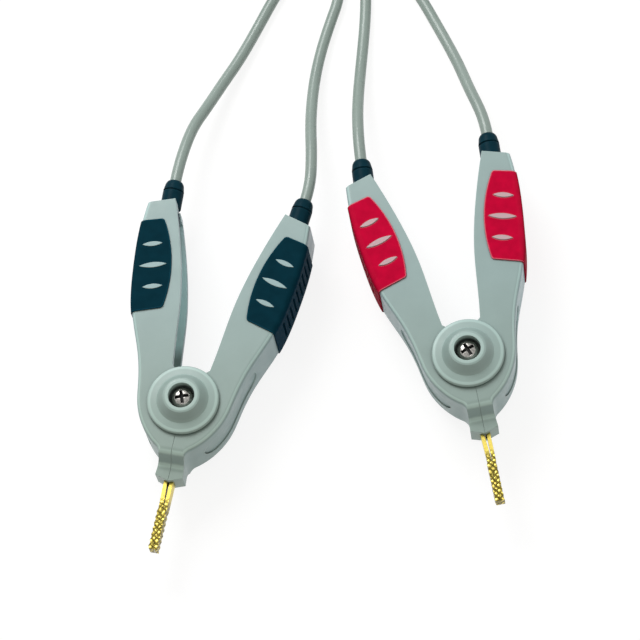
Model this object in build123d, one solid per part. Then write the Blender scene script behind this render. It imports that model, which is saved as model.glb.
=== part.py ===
from build123d import *
from math import atan2, cos, degrees, hypot, pi, radians, sin, tan
import os

# A pair of Kelvin clips with four coaxial leads, in millimetres.
# +Z is up. The pivots are upright, the handles point to +Y and the jaws to -Y.
# The origin is the middle of the flat face under the black clip, on its pivot axis.
os.makedirs("parts", exist_ok=True)

# Where the two clips lie: pivot and turn of each
CLIPS = {"black": ((0.0, 0.0), -13.2), "red": ((70.85, 7.9), 8.9)}

# Lever moulding, drawn as the right-hand lever of a clip whose pivot is at 0,0
LEVER_T = 13.0
WALL = 1.6
TOP_WALL = 2.4
EDGE_R = 1.1
TOP_IN = (14.4, 54.0)
TOP_OUT = (21.0, 51.9)
OUTER_LINE = [(20.7, 56.0), (21.5, 47.0), (20.6, 33.5), (18.3, 21.4), (14.4, 10.8), (12.6, 3.5),
              (11.3, -2.8), (8.9, -7.7), (4.5, -12.3)]
INNER_LINE = [TOP_IN, (10.2, 41.0), (7.0, 27.0), (5.6, 15.0), (4.8, 9.0)]
NOSE_HALF_W = 3.2
NOSE_START = 15.1
NOSE_END = 18.8
NOSE_POINT = 19.9
NOSE_T = 5.4
NOSE_SLOPE_FROM = 12.4
NOSE_SLOPE_TO = 17.3
PARTING_GAP = 0.06
PARTING_TOP = 5.0
CAVITY_END = 9.9

# Long shallow panel in the outer wall beside the pivot
PANEL_LENGTH = 22.8
PANEL_WIDTH = 6.0
PANEL_MID = 1.2
PANEL_DEPTH = 0.3

# Stiffening ribs inside the handle
RIB_T = 1.0
RIB_STATIONS = (27.0, 36.0)
RIB_REACH = 5.0

# Pivot: each lever has an outer ear on one wall and a stepped inner ear on the other
EAR_R = 8.0
EAR_GAP = 0.2
EAR_STEP = 1.0
EAR_FLOAT = 0.15
BUSH_OD = 4.5
BUSH_BORE_D = 3.2
PIVOT_GAP = 0.05
FACE_GAP = 0.1

# Caps, screw and threaded insert
CAP_D = 18.0
CAP_BEVEL = 0.25
CAP_RIM_H = 1.2
CAP_CONE_D = 13.0
CAP_CONE_H = 1.4
CAP_LIP_D = 9.6
CAP_H = 3.8
MOUTH_D = 6.6
MOUTH_FLOOR = 0.9
SCREW_D = 3.0
SCREW_LENGTH = 16.0
HEAD_D = 5.9
HEAD_H = 2.1
CROSS_SPAN = 3.5
CROSS_W = 0.8
CROSS_DEPTH = 1.3
CROSS_TURN = 20.0
INSERT_D = 4.8
INSERT_H = 2.6
THREAD_GAP = 0.03

# Torsion spring round the pivot bush
SPRING_WIRE = 0.9
SPRING_D = 7.0
SPRING_TURNS = 4
SPRING_PITCH = 1.0
SPRING_LEG_Y = 19.5
SPRING_SEAT = 0.05

# Soft grip moulded over the handle
GRIP_PROUD = 0.35
GRIP_RECESS = 0.7
GRIP_TOP_IN = (15.9, 47.9)
GRIP_LOW_IN = (10.9, 23.8)
GRIP_BULGE = (11.3, 36.0)
GRIP_TOP_SLOPE = -15.0
GRIP_LOW_SLOPE = -18.0
GRIP_CORNER_R = 0.9
GROOVES = 9
GROOVE_W = 0.9
GROOVE_LENGTH = 8.0
GROOVE_DEPTH = 0.5
GROOVE_FROM_Y = 25.5
GROOVE_PITCH = 2.3

# Lens-shaped ribs of the lever that show through the grip: middle, length, width
LENSES = [((17.2, 40.4), 5.1, 1.25), ((15.8, 34.7), 7.0, 1.4), ((14.6, 28.9), 5.1, 1.25)]
LENS_TURN = -15.5
LENS_PROUD = 0.2

# Strain relief: a grooved head on top of the lever, a neck in its slot and a taper inside.
# The soft head leans with its cord, outwards by these angles.
RELIEF_SEAT = (16.6, 53.2)
RELIEF_LEAN = {"black_left": 3.0, "black_right": 5.0, "red_left": -4.0, "red_right": 3.0}
RELIEF_TAIL_LEAN = 14.0
RELIEF_D = 5.4
RELIEF_TOP_D = 4.9
RELIEF_NECK_D = 4.5
RELIEF_HEAD_H = 8.0
RELIEF_CROWN_H = 1.2
RELIEF_FLAT_D = 3.8
RELIEF_GROOVE_AT = 4.9
RELIEF_GROOVE_W = 0.5
RELIEF_GROOVE_DEPTH = 0.35
RELIEF_TAIL_L = 9.4
RELIEF_TAIL_D = 3.6
RELIEF_TAPER_STEP = 0.1
SLOT_GAP = 0.1

# Contact blade: straight shank, then teeth that mesh with the other blade
BLADE_TIP = 37.4
BLADE_OUT = 1.2
BLADE_W = 3.0
BLADE_TAIL = 5.3
BLADE_SPREAD = 0.28
TOOTH_PITCH = 1.5
TOOTH_DEPTH = 0.5
TEETH = 7
TOOTH_GAP = 0.05
BACK_WAVE = 0.12

# Wire inside the lever, from the strain relief to the blade's tail
WIRE_D = 1.4
WIRE_Z = -1.0
WIRE_ROUTE = [(12.4, 33.0), (10.9, 23.5), (9.6, 14.0), (8.4, 3.5), (7.4, -2.6)]
SOLDER_Y = -6.9
SOLDER_RUN = 3.6

# Cords: each leaves its relief, comes down to the floor and runs to its coil
CORD_D = 3.0
COIL_OUT_R = 22.8
COIL_IN_R = 10.4
COIL_H = 6.1
COIL_ROUND = 1.3
LANE_X = 42.7
COIL_FRONT = (29.0, 146.0)
COIL_REAR = (23.6, 193.0)
EXIT_RUN = 5.0
LEADS = {
    "black_left": [(1.4, 80.0, 8.0), (5.1, 87.1, 5.6), (9.2, 95.0, 3.6), (13.7, 102.7, 2.3),
                   (18.2, 111.4, 1.7), (22.9, 120.7, 1.5), (27.4, 127.9, 1.5), (31.9, 135.5, 1.5)],
    "black_right": [(32.7, 70.2, 8.9), (32.4, 79.3, 6.4), (32.7, 87.5, 4.2), (33.6, 95.6, 2.7),
                    (35.3, 103.8, 1.8), (37.7, 111.6, 1.5), (40.5, 119.4, 1.5), (41.2, 128.2, 1.5),
                    (40.2, 137.0, 1.5), (39.4, 146.4, 1.5), (39.5, 158.0, 1.5), (39.9, 169.6, 1.5),
                    (40.1, 181.0, 1.5), (40.05, 191.5, 1.5)],
    "red_left": [(44.8, 79.8, 8.1), (45.0, 87.7, 5.4), (45.6, 95.6, 3.3), (46.4, 103.5, 2.1),
                 (47.2, 111.4, 1.6), (47.7, 119.6, 1.5), (47.1, 128.8, 1.5), (46.4, 137.6, 1.5),
                 (46.2, 147.4, 1.5), (45.9, 158.9, 1.5), (45.5, 170.2, 1.5), (45.3, 181.3, 1.5),
                 (45.35, 191.5, 1.5)],
    "red_right": [(74.0, 86.6, 7.6), (71.6, 95.0, 5.0), (68.8, 102.6, 3.2), (65.9, 109.7, 2.0),
                  (62.6, 117.3, 1.5), (57.9, 125.8, 1.5), (54.5, 132.2, 1.5), (51.95, 138.8, 1.5)],
}
# Tails from a left-hand coil to its plug; a right-hand one is its mirror image about LANE_X
TAIL_FRONT = [(13.7, 166.4, 4.6), (7.4, 166.7, 4.6), (1.0, 168.6, 4.1), (-4.0, 173.2, 3.1),
              (-6.9, 180.0, 2.1), (-7.7, 188.2, 1.6), (-7.5, 196.4, 1.9), (-6.2, 203.6, 3.4),
              (-3.6, 210.0, 5.7)]
TAIL_REAR = [(39.4, 193.0, 4.6), (39.3, 199.0, 4.7), (38.2, 204.8, 5.4), (36.1, 210.3, 6.5)]
PLUG_RUN = 6.6

# Coaxial bayonet plug on the end of each cord, drawn along +Z from the end of its boot
PLUG_X = {"front": 44.0, "rear": 8.2}
PLUG_Y = 223.0
PLUG_Z = 7.3
BOOT_L = 14.0
BOOT_D = 7.6
BOOT_END_D = 4.6
BOOT_RINGS = 4
BOOT_RING_DEPTH = 0.5
NUT_D = 11.0
NUT_FLATS = 10.2
NUT_L = 6.0
BODY_D = 9.4
BODY_L = 8.4
SLEEVE_D = 8.1
SLEEVE_ID = 6.6
SLEEVE_L = 12.6
SLEEVE_DEPTH = 10.0
CLIP_RING_D = 9.2
CLIP_RING_L = 0.6
COLLAR_D = 14.5
COLLAR_ID = 9.8
COLLAR_LIP = 1.6
COLLAR_L = 13.0
COLLAR_GAP = 0.1
SLOT_W = 2.3
SLOT_L = 5.0
SLOT_TURN = 28.0
KNURLS = 14
KNURL_D = 1.3
PIN_D = 1.37
PIN_L = 8.4
DIELECTRIC_D = 4.7
DIELECTRIC_L = 4.0

# Heights and levels that follow from the stack: cap, gap, lever, gap, cap
HALF_T = LEVER_T / 2
MID_Z = CAP_H + FACE_GAP + HALF_T
BUSH_L = LEVER_T + 2 * FACE_GAP
BIG = 60.0


# Small helpers
def block(face, low, high):
    """A face of the XY plane, pulled up from z = low to z = high."""
    return Pos(0, 0, low) * extrude(face, high - low)


def disc(radius, low, high):
    return block(Circle(radius), low, high)


def turned_about_z(points):
    """The solid that a closed outline of (radius, height) points sweeps about Z."""
    return revolve(Plane.XZ * make_face(Polyline(*points, points[0])), Axis.Z)


def top_line(inset):
    """Two far points of the line that lies inset below the lever's top edge."""
    dx, dy = TOP_OUT[0] - TOP_IN[0], TOP_OUT[1] - TOP_IN[1]
    ux, uy = dx / hypot(dx, dy), dy / hypot(dx, dy)
    x, y = TOP_IN[0] + uy * inset, TOP_IN[1] - ux * inset
    return (x - ux * BIG, y - uy * BIG), (x + ux * BIG, y + uy * BIG)


def below_top(inset):
    """Everything more than inset below the lever's top edge."""
    a, b = top_line(inset)
    return block(make_face(Polyline(a, b, (b[0], b[1] - 3 * BIG), (a[0], a[1] - 3 * BIG), a)), -BIG, BIG)


def outer_points(inset):
    """The outer line's points, moved inwards square to the line."""
    if inset == 0:
        return OUTER_LINE
    line = Spline(*OUTER_LINE)
    steps = 2 * len(OUTER_LINE)
    moved = []
    for i in range(steps + 1):
        p, d = line @ (i / steps), line % (i / steps)
        moved.append((p.X + d.Y * inset, p.Y - d.X * inset))
    return moved


def outer_at(y, inset):
    """Where the outer line, moved inwards, passes the height y, and which way it heads there."""
    line = Spline(*outer_points(inset))
    low, high = 0.0, 1.0
    while high - low > 1e-5:
        middle = (low + high) / 2
        if (line @ middle).Y > y:
            low = middle
        else:
            high = middle
    p, d = line @ low, line % low
    return (p.X, p.Y), degrees(atan2(d.Y, d.X))


# Lever
def slab(inset):
    """The lever's thickness inside its outer line, with rounded outer edges."""
    edges = [Spline(*outer_points(inset))]
    if inset == 0:
        heel = TangentArc(edges[0] @ 1, (NOSE_HALF_W, -NOSE_START), tangent=edges[0] % 1)
        flank = Line(heel @ 1, heel @ 1 + (heel % 1) * (NOSE_POINT + 2 - NOSE_START))
        edges += [heel, flank]
    first, last = edges[0] @ 0, edges[-1] @ 1
    rim = edges + [Polyline(last, (-BIG, last.Y), (-BIG, first.Y), first)]
    solid = block(make_face(rim), inset - HALF_T, HALF_T - inset)
    flat = [e for e in solid.edges() if abs(abs(e.center().Z) - HALF_T + inset) < 0.01]
    outer = [e for e in flat if any(abs(e.length - k.length) < 0.01 for k in edges)]
    return fillet(outer, EDGE_R - inset)


def lever_outline():
    """The lever from above, open on the outer side: parting line, nose end, top and inner side."""
    inner = Spline(*INNER_LINE)
    edge = PARTING_GAP / 2
    slope = (NOSE_POINT - NOSE_END) / NOSE_HALF_W
    rest = Polyline(inner @ 1, (edge, PARTING_TOP), (edge, -NOSE_POINT), (BIG, slope * BIG - NOSE_POINT),
                    (BIG, TOP_OUT[1]), TOP_OUT, TOP_IN)
    return make_face([inner, rest])


def nose_cutter():
    """What comes off the front of the nose, so that it slopes down to its thin end."""
    slope = Spline((-NOSE_SLOPE_FROM, HALF_T), (-NOSE_SLOPE_TO, NOSE_T / 2), tangents=((-1, 0), (-1, 0)))
    rest = Polyline(slope @ 1, (-BIG, NOSE_T / 2), (-BIG, BIG), (-NOSE_SLOPE_FROM, BIG), slope @ 0)
    return Pos(-BIG, 0, 0) * extrude(Plane.YZ * make_face([slope, rest]), 2 * BIG)


def cavity():
    """The room inside the lever, open towards the other lever."""
    line = Spline(*[p for p in outer_points(WALL) if p[1] > -CAVITY_END])
    rest = Polyline(line @ 1, (PARTING_GAP, -CAVITY_END), (-BIG, -CAVITY_END), (-BIG, BIG), line @ 0)
    return block(make_face([line, rest]), WALL - HALF_T, HALF_T - WALL) & below_top(TOP_WALL)


def panel_pocket():
    """A shallow pocket that follows the outer wall beside the pivot."""
    line = Spline(*outer_points(PANEL_DEPTH))
    far = Polyline(line @ 1, (-BIG, -BIG), (-BIG, BIG), line @ 0)
    inside = block(make_face([line, far]), -HALF_T, HALF_T)
    slot = extrude(Plane.YZ * SlotOverall(PANEL_LENGTH, PANEL_WIDTH), BIG)
    return (slab(0) - inside) & (Pos(1, PANEL_MID, 0) * slot)


def lens(spot):
    """The outline of one lens-shaped rib."""
    (x, y), length, width = spot
    top = ThreePointArc((-length / 2, 0), (0, width / 2), (length / 2, 0))
    low = ThreePointArc((length / 2, 0), (0, -width / 2), (-length / 2, 0))
    return Pos(x, y) * Rot(0, 0, LENS_TURN) * make_face([top, low])


def lenses(reach):
    """All lens ribs, from the grip's bed to reach above the lever, on both faces."""
    ribs = []
    for spot in LENSES:
        ribs.append(block(lens(spot), HALF_T - GRIP_RECESS, HALF_T + reach))
        ribs.append(block(lens(spot), -HALF_T - reach, GRIP_RECESS - HALF_T))
    return ribs


def relief_slot():
    """The slot in the lever's top wall, open to the inner side, that holds the relief's neck."""
    r = RELIEF_NECK_D / 2 + SLOT_GAP
    face = Circle(r) + Pos(-BIG / 2, 0) * Rectangle(BIG, 2 * r)
    slot = Pos(0, 0, -2 * TOP_WALL) * extrude(face, 3 * TOP_WALL)
    return at_top(degrees(atan2(TOP_IN[1] - TOP_OUT[1], TOP_OUT[0] - TOP_IN[0]))) * slot


def at_top(lean):
    """The place on the lever's top edge where the relief stands, leaning outwards."""
    return Pos(RELIEF_SEAT[0], RELIEF_SEAT[1], 0) * Rot(0, 0, -lean) * Rot(-90, 0, 0)


def rib(y):
    """One stiffening rib, from the outer wall part of the way to the inner side."""
    x = outer_at(y, WALL)[0][0]
    return Pos(x - RIB_REACH / 2 + WALL / 4, y, 0) * Box(RIB_REACH + WALL / 2, RIB_T, LEVER_T - 2 * WALL)


def lever():
    """One moulded lever: walls, nose, ears, ribs and the bed of its grip."""
    shell = block(lever_outline(), -HALF_T, HALF_T) & slab(0)
    shell -= cavity()
    shell -= panel_pocket()
    cutter = nose_cutter()
    shell -= [cutter, Rot(0, 180, 0) * cutter]
    shell += [rib(y) for y in RIB_STATIONS]
    shell -= grip_block(lens_holes=False)
    shell += lenses(GRIP_PROUD + LENS_PROUD)
    shell -= relief_slot()
    shell -= Pos(BLADE_OUT - BIG / 2, -BIG / 2 - BLADE_TAIL, 0) * Box(BIG, BIG, BLADE_W)

    # Back wall: room for the other lever's outer ear, and this lever's stepped inner ear
    back = -HALF_T
    shell -= disc(EAR_R + EAR_GAP, back - 1, back + WALL)
    step = block(lever_outline(), back + WALL, back + WALL + EAR_FLOAT) & disc(EAR_R + EAR_STEP, back, 0)
    shell += step - disc(EAR_R + EAR_GAP, back, 0)
    shell += disc(EAR_R + EAR_STEP, back + WALL + EAR_FLOAT, back + 2 * WALL + EAR_FLOAT)

    # Front wall: the outer ear
    shell += disc(EAR_R, HALF_T - WALL, HALF_T)
    return shell - disc(BUSH_OD / 2 + PIVOT_GAP, -LEVER_T, LEVER_T)


# Soft grip
def grip_window():
    """The grip's outline on the lever's front and back faces."""
    side = ThreePointArc(GRIP_LOW_IN, GRIP_BULGE, GRIP_TOP_IN)
    reach = BIG / 5
    top_end = (GRIP_TOP_IN[0] + reach, GRIP_TOP_IN[1] + reach * tan(radians(GRIP_TOP_SLOPE)))
    low_reach = top_end[0] - GRIP_LOW_IN[0]
    low_end = (top_end[0], GRIP_LOW_IN[1] + low_reach * tan(radians(GRIP_LOW_SLOPE)))
    face = make_face([side, Polyline(GRIP_TOP_IN, top_end, low_end, GRIP_LOW_IN)])
    corners = [v for v in face.vertices() if v.X < top_end[0] - 1]
    return fillet(corners, GRIP_CORNER_R)


def grip_block(lens_holes=True):
    """What the soft grip fills: its bed in the lever and a thin skin above it."""
    window = block(grip_window(), -LEVER_T, LEVER_T)
    solid = (slab(-GRIP_PROUD) & window) - slab(GRIP_RECESS)
    return solid - lenses(GRIP_PROUD + 1) if lens_holes else solid


def grip():
    """The soft grip with its lens-shaped windows and the grooves down its outer side."""
    solid = grip_block()
    for i in range(GROOVES):
        (x, y), heading = outer_at(GROOVE_FROM_Y + i * GROOVE_PITCH, -GRIP_PROUD)
        cut = Box(GROOVE_W, 2 * GROOVE_DEPTH, GROOVE_LENGTH)
        solid -= Pos(x, y, 0) * Rot(0, 0, heading) * cut
    return solid


# Strain relief
def relief(lean):
    """The strain relief: grooved head, neck in the slot, tapered tail inside the lever."""
    r, g = RELIEF_D / 2, RELIEF_GROOVE_AT
    shoulder = RELIEF_HEAD_H - RELIEF_CROWN_H
    side = Polyline((0, -r), (r, -r), (r, g), (r - RELIEF_GROOVE_DEPTH, g),
                    (r - RELIEF_GROOVE_DEPTH, g + RELIEF_GROOVE_W), (r, g + RELIEF_GROOVE_W),
                    (RELIEF_TOP_D / 2, shoulder))
    crown = TangentArc((RELIEF_TOP_D / 2, shoulder), (RELIEF_FLAT_D / 2, RELIEF_HEAD_H), tangent=(-0.1, 1))
    lid = Polyline((RELIEF_FLAT_D / 2, RELIEF_HEAD_H), (0, RELIEF_HEAD_H), (0, -r))
    head = at_top(lean) * revolve(Plane.XZ * make_face([side, crown, lid]), Axis.Z) - below_top(0)
    top_lean = degrees(atan2(TOP_IN[1] - TOP_OUT[1], TOP_OUT[0] - TOP_IN[0]))
    neck = at_top(top_lean) * disc(RELIEF_NECK_D / 2, -TOP_WALL, 0.5)
    end = -TOP_WALL - RELIEF_TAIL_L
    start = (r - RELIEF_TAPER_STEP, 1 - TOP_WALL)
    taper = turned_about_z([(0, 1 - TOP_WALL), start, (RELIEF_TAIL_D / 2, end), (0, end)])
    tail = at_top(RELIEF_TAIL_LEAN) * taper & below_top(TOP_WALL)
    return head + neck + tail


def lean_out(lean, distance):
    """The point that lies a distance along the leaning relief's axis from its seat."""
    a = radians(lean)
    return RELIEF_SEAT[0] + distance * sin(a), RELIEF_SEAT[1] + distance * cos(a)


# Contact blade
def blade(hand):
    """One contact blade. hand is 1 or -1 and says which way its teeth start, so that two mesh."""
    teeth, back = [], []
    for i in range(2 * TEETH + 1):
        y = -BLADE_TIP + i * TOOTH_PITCH / 2
        side = hand * (1 if i % 2 == 0 else -1)
        teeth.append((TOOTH_GAP + side * TOOTH_DEPTH / 2, y))
        back.append((BLADE_OUT - BACK_WAVE + side * BACK_WAVE, y))
    shank = [(BLADE_SPREAD, -NOSE_POINT), (BLADE_SPREAD, -BLADE_TAIL), (BLADE_OUT, -BLADE_TAIL),
             (BLADE_OUT, -NOSE_POINT)]
    outline = teeth + shank + back[::-1]
    return block(make_face(Polyline(*outline, outline[0])), -BLADE_W / 2, BLADE_W / 2)


def wire():
    """The wire from the relief's tail down the handle and round the spring to the blade."""
    x, y = lean_out(RELIEF_TAIL_LEAN, -TOP_WALL - RELIEF_TAIL_L)
    a = radians(RELIEF_TAIL_LEAN)
    points = [(x, y, 0), (x - 3 * sin(a), y - 3 * cos(a), 0)]
    points += [(px, py, WIRE_Z) for px, py in WIRE_ROUTE]
    points += [(BLADE_OUT + SOLDER_RUN, SOLDER_Y, 0), (BLADE_OUT, SOLDER_Y, 0)]
    return tube(points, WIRE_D)


# Pivot pieces
def cap_profile():
    """The outside of a cap from its flat underside at height 0 to its lip."""
    r, lip, b = CAP_D / 2, CAP_LIP_D / 2, CAP_BEVEL
    return [(r - b, 0), (r, b), (r, CAP_RIM_H - 2 * b), (r - b, CAP_RIM_H - b / 2), (r - 3 * b, CAP_RIM_H),
            (CAP_CONE_D / 2, CAP_CONE_H), (lip, CAP_H - 2 * b), (lip - b, CAP_H - b / 2),
            (lip - 3 * b, CAP_H)]


def front_cap():
    """The front cap, with the recess for the screw's head."""
    bore = SCREW_D / 2 + PIVOT_GAP
    inner = [(MOUTH_D / 2, CAP_H), (MOUTH_D / 2, MOUTH_FLOOR), (bore, MOUTH_FLOOR), (bore, 0)]
    return Pos(0, 0, BUSH_L / 2) * turned_about_z(cap_profile() + inner)


def back_cap():
    """The back cap: closed and flat outside, with a blind pocket for the threaded insert."""
    inner = [(0, CAP_H), (0, INSERT_H), (INSERT_D / 2, INSERT_H), (INSERT_D / 2, 0)]
    return Rot(180, 0, 0) * Pos(0, 0, BUSH_L / 2) * turned_about_z(cap_profile() + inner)


def insert():
    """The threaded insert in the back cap."""
    ring = Circle(INSERT_D / 2) - Circle(SCREW_D / 2 + THREAD_GAP)
    return Pos(0, 0, -BUSH_L / 2 - INSERT_H) * extrude(ring, INSERT_H)


def bush():
    """The pivot bush that both caps are tightened against."""
    return Pos(0, 0, -BUSH_L / 2) * extrude(Circle(BUSH_OD / 2) - Circle(BUSH_BORE_D / 2), BUSH_L)


def screw():
    """The pan-head pivot screw with a cross recess."""
    seat = BUSH_L / 2 + MOUTH_FLOOR
    r = HEAD_D / 2
    rim = Polyline((0, 0), (r, 0), (r, HEAD_H / 3))
    dome = ThreePointArc((r, HEAD_H / 3), (r * 0.72, HEAD_H * 0.85), (0, HEAD_H))
    head = revolve(Plane.XZ * make_face([rim, dome, Line((0, HEAD_H), (0, 0))]), Axis.Z)
    cross = Pos(0, 0, HEAD_H - CROSS_DEPTH) * Rot(0, 0, CROSS_TURN)
    arms = Rectangle(CROSS_SPAN, CROSS_W) + Rectangle(CROSS_W, CROSS_SPAN)
    head -= cross * extrude(arms, HEAD_H)
    return Pos(0, 0, seat) * head + disc(SCREW_D / 2, seat - SCREW_LENGTH, seat + 0.1)


def spring():
    """The torsion spring: a coil round the bush and a straight leg to each lever's outer wall."""
    r = SPRING_D / 2
    (ex, ey), _ = outer_at(SPRING_LEG_Y, WALL + SPRING_WIRE / 2 + SPRING_SEAT)
    leg = (ex * ex + ey * ey - r * r) ** 0.5
    leave = degrees(atan2(ey, ex)) - degrees(atan2(leg, r))
    height = SPRING_PITCH * (SPRING_TURNS + 0.5 + leave / 180)
    rise = leg * SPRING_PITCH / (2 * pi * r)
    turns = Pos(0, 0, -height / 2) * Rot(0, 0, 180 - leave) * Helix(SPRING_PITCH, height, r)
    low, high = (-ex, ey, -height / 2 - rise), (ex, ey, height / 2 + rise)
    path = Wire([Line(low, turns @ 0).edge(), turns.edge(), Line(turns @ 1, high).edge()])
    return sweep(Plane(origin=path @ 0, z_dir=path % 0) * Circle(SPRING_WIRE / 2), path)


# Cords
def tube(points, diameter):
    """Straight runs joined by arcs, each as large as its two runs allow."""
    vectors = [Vector(*p) for p in points]
    radii = []
    for a, b, c in zip(vectors, vectors[1:], vectors[2:]):
        turn = radians((b - a).get_angle(c - b))
        radii.append(0.45 * min((b - a).length, (c - b).length) / tan(turn / 2))
    path = FilletPolyline(*points, radius=radii)
    solid = sweep(Plane(origin=path @ 0, z_dir=path % 0) * Circle(diameter / 2), path)
    section = pi * diameter ** 2 / 4
    print(f"tube length {path.length:.1f}, volume over section times length "
          f"{solid.volume / section / path.length:.4f}, radii {[round(r, 1) for r in radii]}")
    return solid


def coil():
    """The outer shape of a wound coil of cord."""
    c = COIL_ROUND
    return turned_about_z([(COIL_IN_R + c, 0), (COIL_OUT_R - c, 0), (COIL_OUT_R, c), (COIL_OUT_R, COIL_H - c),
                           (COIL_OUT_R - c, COIL_H), (COIL_IN_R + c, COIL_H), (COIL_IN_R, COIL_H - c),
                           (COIL_IN_R, c)])


# Plug, drawn along +Z
def plug_boot():
    """The plug's soft boot with a few rings."""
    a, b = BOOT_END_D / 2, BOOT_D / 2
    pitch = BOOT_L / (BOOT_RINGS + 1.5)
    points = [(0, 0), (a, 0)]
    for i in range(BOOT_RINGS):
        z = (i + 0.5) * pitch
        for h, depth in ((0, 0), (0.1, BOOT_RING_DEPTH), (0.4, BOOT_RING_DEPTH), (0.5, 0)):
            at = z + h * pitch
            points.append((a + (b - a) * at / BOOT_L - depth, at))
    return turned_about_z(points + [(b, BOOT_L), (0, BOOT_L)])


def plug_body():
    """The plug's metal body: clamp nut, barrel, inner sleeve and the ring that keeps the collar."""
    z1 = BOOT_L + NUT_L
    z2 = z1 + BODY_L
    z3 = z2 + SLEEVE_L
    keep = z2 + COLLAR_LIP + 2 * COLLAR_GAP
    flats = RegularPolygon(NUT_FLATS / 2, 6, major_radius=False)
    nut = disc(NUT_D / 2, BOOT_L, z1) & block(flats, BOOT_L, z1)
    barrel = turned_about_z([(0, z1), (BODY_D / 2, z1), (BODY_D / 2, z2), (SLEEVE_D / 2, z2),
                             (SLEEVE_D / 2, keep), (CLIP_RING_D / 2, keep),
                             (CLIP_RING_D / 2, keep + CLIP_RING_L), (SLEEVE_D / 2, keep + CLIP_RING_L),
                             (SLEEVE_D / 2, z3), (SLEEVE_ID / 2, z3), (SLEEVE_ID / 2, z3 - SLEEVE_DEPTH),
                             (0, z3 - SLEEVE_DEPTH)])
    return nut + barrel


def plug_collar():
    """The bayonet collar that turns on the plug's sleeve, with its two slots and grip flutes."""
    low = BOOT_L + NUT_L + BODY_L + COLLAR_GAP
    top = low + COLLAR_L
    ring = turned_about_z([(SLEEVE_D / 2 + PIVOT_GAP, low), (COLLAR_D / 2 - 0.5, low),
                           (COLLAR_D / 2, low + 0.5), (COLLAR_D / 2, top - 0.5), (COLLAR_D / 2 - 0.5, top),
                           (COLLAR_ID / 2, top), (COLLAR_ID / 2, low + COLLAR_LIP),
                           (SLEEVE_D / 2 + PIVOT_GAP, low + COLLAR_LIP)])
    for i in range(KNURLS):
        flute = Pos(COLLAR_D / 2 + KNURL_D / 4, 0, low) * extrude(Circle(KNURL_D / 2), COLLAR_L / 2)
        ring -= Rot(0, 0, i * 360 / KNURLS) * flute
    for start in (0, 180):
        run = Pos(COLLAR_D / 2, 0, top - SLOT_L / 2) * Box(COLLAR_D / 2, SLOT_W, SLOT_L)
        ring -= Rot(0, 0, start) * run
        hook = Pos(COLLAR_D / 2, 0, top - SLOT_L + SLOT_W / 2) * Box(COLLAR_D / 2, SLOT_W, SLOT_W)
        ring -= Rot(0, 0, start + SLOT_TURN / 2) * hook
        ring -= Rot(0, 0, start + SLOT_TURN) * hook
    return ring


def plug_pin():
    """The centre contact in its dielectric."""
    floor = BOOT_L + NUT_L + BODY_L + SLEEVE_L - SLEEVE_DEPTH
    return disc(DIELECTRIC_D / 2, floor, floor + DIELECTRIC_L) + disc(PIN_D / 2, floor, floor + PIN_L)


# Placing and writing
def in_clip(name, shape):
    """A piece of a clip, moved from the clip's own frame to where the clip lies."""
    (x, y), turn = CLIPS[name]
    return Pos(x, y, MID_Z) * Rot(0, 0, turn) * shape


def turned_over(side, shape):
    """Both levers of a clip are one moulding: the left one is turned over about the clip's length."""
    return Rot(0, 180, 0) * shape if side == "left" else shape


def cord_exit(name, distance):
    """The point on a cord's axis that lies a distance above its relief."""
    clip, side = name.split("_")
    x, y = lean_out(RELIEF_LEAN[name], RELIEF_HEAD_H + distance)
    (px, py), turn = CLIPS[clip]
    x, a = (-x if side == "left" else x), radians(turn)
    return px + x * cos(a) - y * sin(a), py + x * sin(a) + y * cos(a), MID_Z


def mirrored(x, side):
    """x itself on the left of the lane between the coils, its mirror image on the right."""
    return x if side == "left" else 2 * LANE_X - x


def save(name, shape):
    export_step(shape, f"parts/{name}.step")


moulding, skin, core = lever(), grip(), wire()
for clip in CLIPS:
    for side, hand in (("left", -1), ("right", 1)):
        name = f"{clip}_{side}"
        pieces = {"lever": moulding, "grip": skin, "relief": relief(RELIEF_LEAN[name]),
                  "blade": blade(hand), "wire": core}
        for piece, shape in pieces.items():
            save(f"{name}_{piece}", in_clip(clip, turned_over(side, shape)))
    pivot = {"front_cap": front_cap(), "back_cap": back_cap(), "insert": insert(), "bush": bush(),
             "screw": screw(), "spring": spring()}
    for piece, shape in pivot.items():
        save(f"{clip}_{piece}", in_clip(clip, shape))

# The outer cords of the pair end in the front coils and the inner ones in the rear coils
PLACES = {"black_left": ("left", "front"), "black_right": ("left", "rear"),
          "red_left": ("right", "rear"), "red_right": ("right", "front")}
for name, (hand, row) in PLACES.items():
    lead = [cord_exit(name, 0), cord_exit(name, EXIT_RUN)] + LEADS[name]
    plug_x = mirrored(LANE_X - PLUG_X[row], hand)
    tail = [(mirrored(x, hand), y, z) for x, y, z in (TAIL_FRONT if row == "front" else TAIL_REAR)]
    tail += [(plug_x, PLUG_Y - PLUG_RUN, PLUG_Z), (plug_x, PLUG_Y, PLUG_Z)]
    save(f"{name}_cord", Compound([tube(lead, CORD_D), tube(tail, CORD_D)]))
    away, y = COIL_FRONT if row == "front" else COIL_REAR
    save(f"{name}_coil", Pos(mirrored(LANE_X - away, hand), y, 0) * coil())
    place = Pos(plug_x, PLUG_Y, PLUG_Z) * Rot(-90, 0, 0)
    plug = {"boot": plug_boot(), "body": plug_body(), "collar": plug_collar(), "pin": plug_pin()}
    for piece, shape in plug.items():
        save(f"{name}_plug_{piece}", place * shape)
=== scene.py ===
"""Looks of a pair of Kelvin clips with their four leads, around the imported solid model."""

from math import atan2, cos, pi, radians, sin, tau

import bmesh
import bpy
from bpy.props import FloatProperty, FloatVectorProperty, IntProperty, PointerProperty
from bpy.types import Operator, Panel, PropertyGroup
from mathutils import Matrix, Vector


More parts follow.
